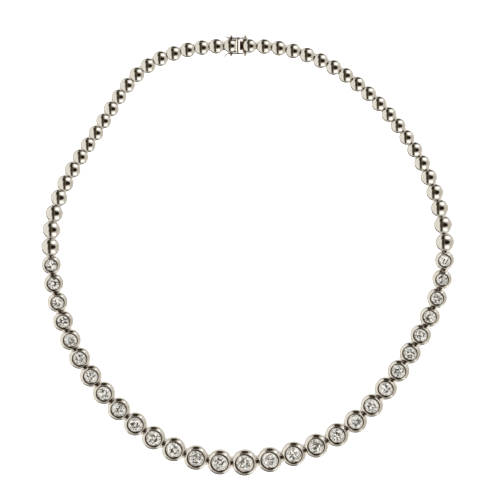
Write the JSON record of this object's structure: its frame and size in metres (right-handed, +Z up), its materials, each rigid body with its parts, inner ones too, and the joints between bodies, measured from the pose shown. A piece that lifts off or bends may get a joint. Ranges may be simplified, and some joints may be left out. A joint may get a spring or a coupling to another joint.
{
  "type": "diamond necklace",
  "caption": "Graduated necklace of round bezel-set diamonds in a closed loop, with polished domed links round the back and a box clasp held by a safety catch on each side.",
  "frame": {"origin": "middle of the loop's bounding box, on the surface that the necklace lies on", "axes": "+X to the right as seen from above, +Y from the centre stone towards the clasp, +Z up, the way the stones face"},
  "size_m": [0.1318, 0.1424, 0.0037],
  "materials": {
    "white_gold": "polished",
    "diamond": "cut and polished"
  },
  "bodies": {
    "necklace": {"setting_01": "white_gold", "setting_02": "white_gold", "setting_03": "white_gold", "setting_04": "white_gold", "setting_05": "white_gold", "setting_06": "white_gold", "setting_07": "white_gold", "setting_08": "white_gold", "setting_09": "white_gold", "setting_10": "white_gold", "setting_11": "white_gold", "setting_12": "white_gold", "setting_13": "white_gold", "setting_14": "white_gold", "setting_15": "white_gold", "setting_16": "white_gold", "setting_17": "white_gold", "setting_18": "white_gold", "setting_19": "white_gold", "setting_20": "white_gold", "setting_21": "white_gold", "setting_22": "white_gold", "setting_23": "white_gold", "setting_24": "white_gold", "setting_25": "white_gold", "setting_26": "white_gold", "setting_27": "white_gold", "setting_28": "white_gold", "setting_29": "white_gold", "stone_10": "diamond", "stone_11": "diamond", "stone_12": "diamond", "stone_13": "diamond", "stone_14": "diamond", "stone_15": "diamond", "stone_16": "diamond", "stone_17": "diamond", "stone_18": "diamond", "stone_19": "diamond", "stone_20": "diamond", "stones_left": "diamond", "stones_right": "diamond", "links_left": "white_gold", "links_right": "white_gold", "clasp_box": "white_gold", "clasp_tongue": "white_gold"},
    "outer_catch": {"catch_outer": "white_gold"},
    "inner_catch": {"catch_inner": "white_gold"}
  },
  "joints": [
    {"name": "outer_catch_hinge", "type": "hinge", "parent": "necklace", "child": "outer_catch", "pos_m": [-0.00081, 0.07014, 0.00125], "axis": [0.006, 1, 0], "range_deg": [0, 110]},
    {"name": "inner_catch_hinge", "type": "hinge", "parent": "necklace", "child": "inner_catch", "pos_m": [-0.00084, 0.06523, 0.00125], "axis": [0.006, 1, 0], "range_deg": [0, 110]}
  ]
}
